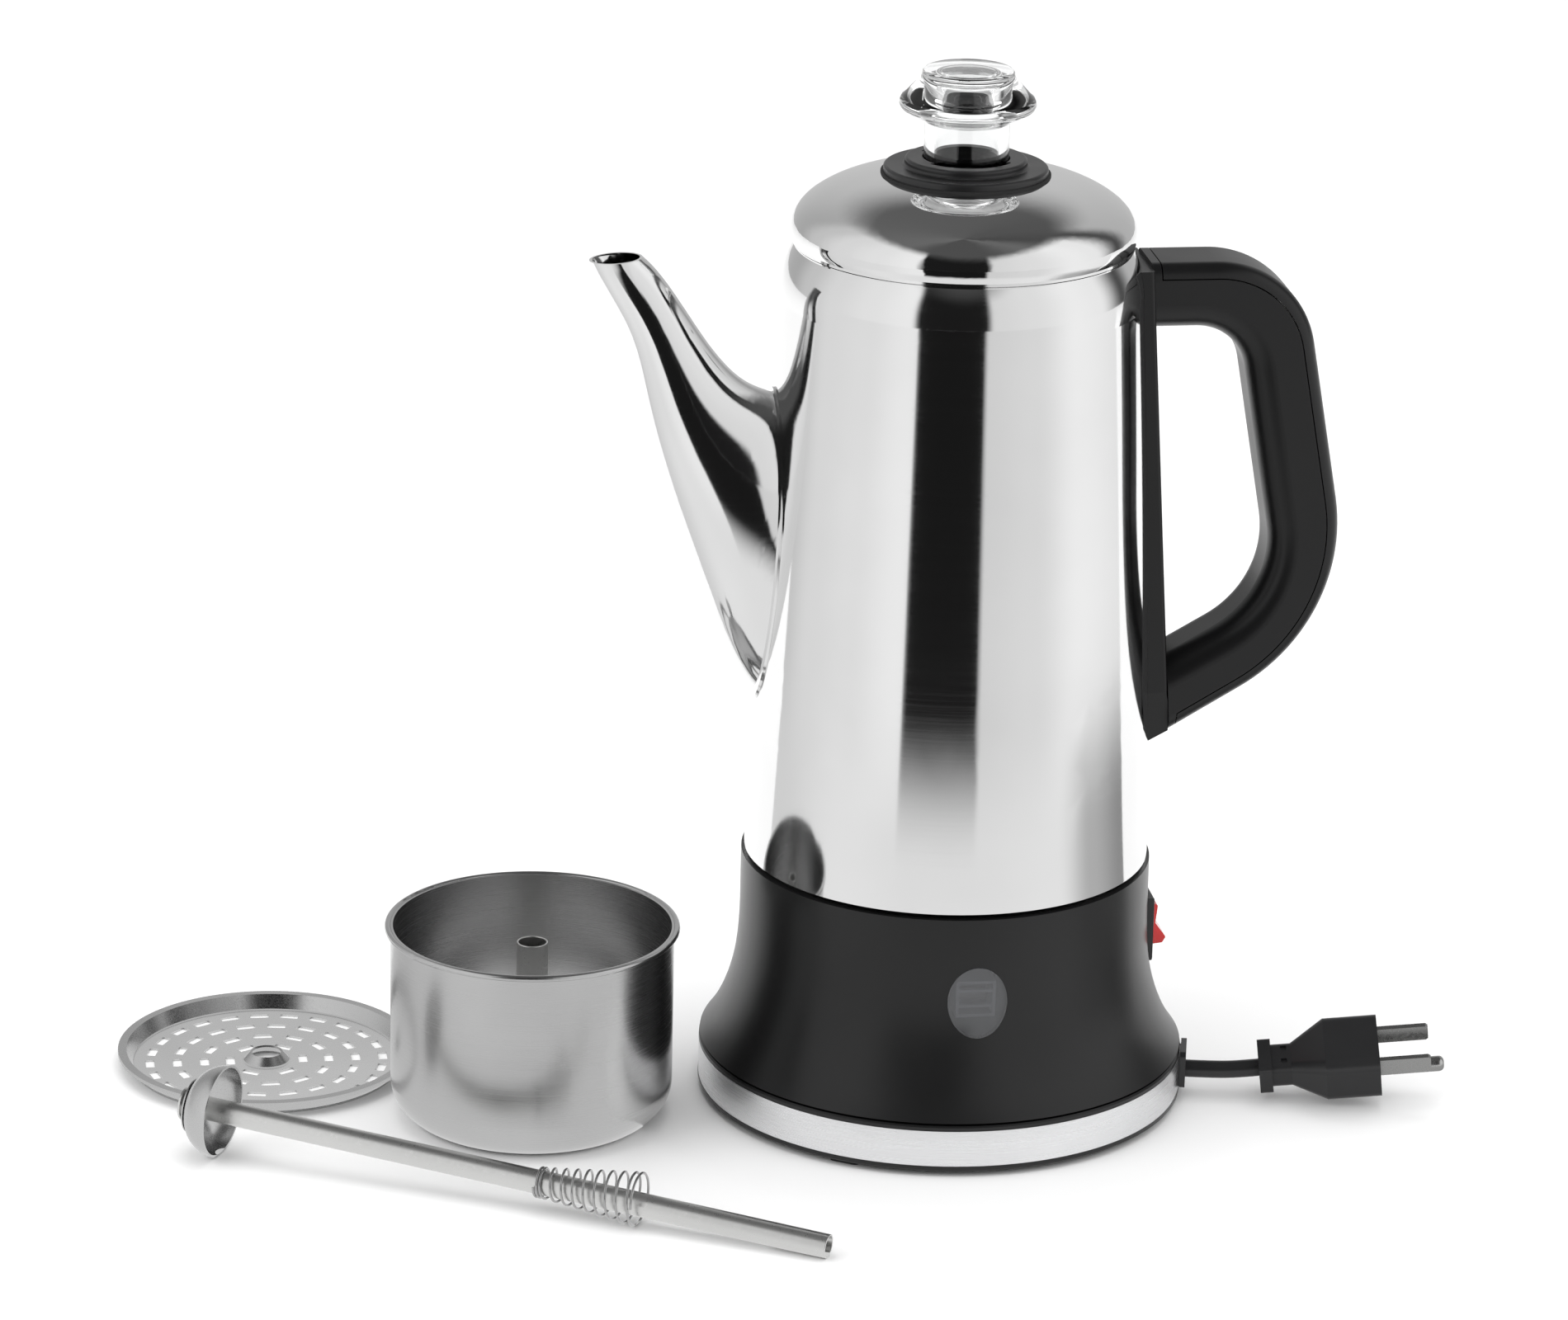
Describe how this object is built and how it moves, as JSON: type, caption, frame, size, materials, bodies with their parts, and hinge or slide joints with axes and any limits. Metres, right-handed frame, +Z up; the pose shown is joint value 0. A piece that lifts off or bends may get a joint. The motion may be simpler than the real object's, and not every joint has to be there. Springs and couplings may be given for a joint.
{
  "type": "electric coffee percolator",
  "caption": "Electric percolator on a powered base, with lid, clear knob, spout, handle, rocker switch, short plug lead, and basket, spreader and pump stem laid beside it.",
  "frame": {"origin": "on the surface the set stands on, below the middle of the set's box measured without the cord and plug; the axis of the pot is at x 0.0677, y 0.0251", "axes": "+Z up, -X the way the spout points, +X the handle, -Y the indicator lens"},
  "size_m": [0.4039, 0.2122, 0.3209],
  "materials": {
    "satin_black": "satin",
    "gloss_black": "gloss",
    "black_rubber": "matte",
    "brushed_trim": "brushed",
    "brushed_steel": "brushed",
    "polished_steel": "polished",
    "zinc_steel": "plain",
    "contact_brass": "bright",
    "lead_insulation": "matte",
    "cord_jacket": "satin",
    "plug_metal": "plain",
    "smoke_lens": "gloss",
    "grey_plastic": "matte",
    "lamp_glass": "gloss",
    "cast_aluminium": "cast",
    "element_sheath": "oxidised",
    "clear_plastic": "gloss",
    "red_rocker": "gloss"
  },
  "bodies": {
    "base": {"base_tray": "satin_black", "base_deck": "satin_black", "trim_band": "brushed_trim", "base_feet": "black_rubber", "base_screws": "zinc_steel", "base_connector": "satin_black", "base_contacts": "contact_brass", "base_leads": "lead_insulation", "cord_outlet": "satin_black", "cord": "cord_jacket", "plug_body": "cord_jacket", "plug_blades": "plug_metal", "plug_ground": "plug_metal"},
    "pot": {"pot_body": "polished_steel", "spout": "polished_steel", "spout_band": "polished_steel", "skirt": "satin_black", "skirt_seal": "black_rubber", "indicator_lens": "smoke_lens", "lamp_housing": "grey_plastic", "neon_lamp": "lamp_glass", "bottom_cover": "satin_black", "bottom_screws": "zinc_steel", "bottom_posts": "satin_black", "pot_socket": "satin_black", "socket_contacts": "contact_brass", "heater_plate": "cast_aluminium", "heating_element": "element_sheath", "thermostat": "grey_plastic", "thermal_fuse": "zinc_steel", "pot_leads": "lead_insulation", "switch_bezel": "gloss_black", "switch_body": "satin_black", "rocker_pin": "zinc_steel", "handle_bosses": "zinc_steel", "handle_screws": "zinc_steel", "handle_strip": "gloss_black", "handle_grip": "gloss_black", "handle_cover": "gloss_black"},
    "lid": {"lid_shell": "polished_steel", "lid_ring": "polished_steel", "lid_gasket": "black_rubber", "lid_washer": "gloss_black"},
    "knob": {"knob": "clear_plastic"},
    "rocker": {"rocker": "red_rocker"},
    "basket": {"basket_shell": "brushed_steel", "basket_tube": "brushed_steel"},
    "spreader": {"spreader": "brushed_steel"},
    "stem": {"pump_bowl": "brushed_steel", "pump_tube": "brushed_steel"},
    "valve": {"valve_disc": "brushed_steel"},
    "spring": {"spring": "zinc_steel"}
  },
  "joints": [
    {"name": "pot_lift", "type": "slide", "parent": "base", "child": "pot", "axis": [0, 0, 1], "range_m": [0, 0.05]},
    {"name": "lid_lift", "type": "slide", "parent": "pot", "child": "lid", "axis": [0, 0, 1], "range_m": [0, 0.05]},
    {"name": "knob_turn", "type": "hinge", "parent": "lid", "child": "knob", "pos_m": [0.06771, 0.0251, 0.3], "axis": [0, 0, 1], "range_deg": [0, 90]},
    {"name": "rocker_tilt", "type": "hinge", "parent": "pot", "child": "rocker", "pos_m": [0.12851, 0.0251, 0.051], "axis": [0, 1, 0], "range_deg": [0, 30]},
    {"name": "basket_lift", "type": "slide", "parent": "base", "child": "basket", "axis": [0, 0, 1], "range_m": [0, 0.05]},
    {"name": "spreader_lift", "type": "slide", "parent": "base", "child": "spreader", "axis": [0, 0, 1], "range_m": [0, 0.05]},
    {"name": "stem_lift", "type": "slide", "parent": "base", "child": "stem", "axis": [0, 0, 1], "range_m": [0, 0.05]},
    {"name": "valve_play", "type": "slide", "parent": "stem", "child": "valve", "axis": [-0.878, 0.4756, 0.0539], "range_m": [0, 0.0006]},
    {"name": "spring_slide", "type": "slide", "parent": "stem", "child": "spring", "axis": [-0.878, 0.4756, 0.0539], "range_m": [0, 0.1]}
  ]
}
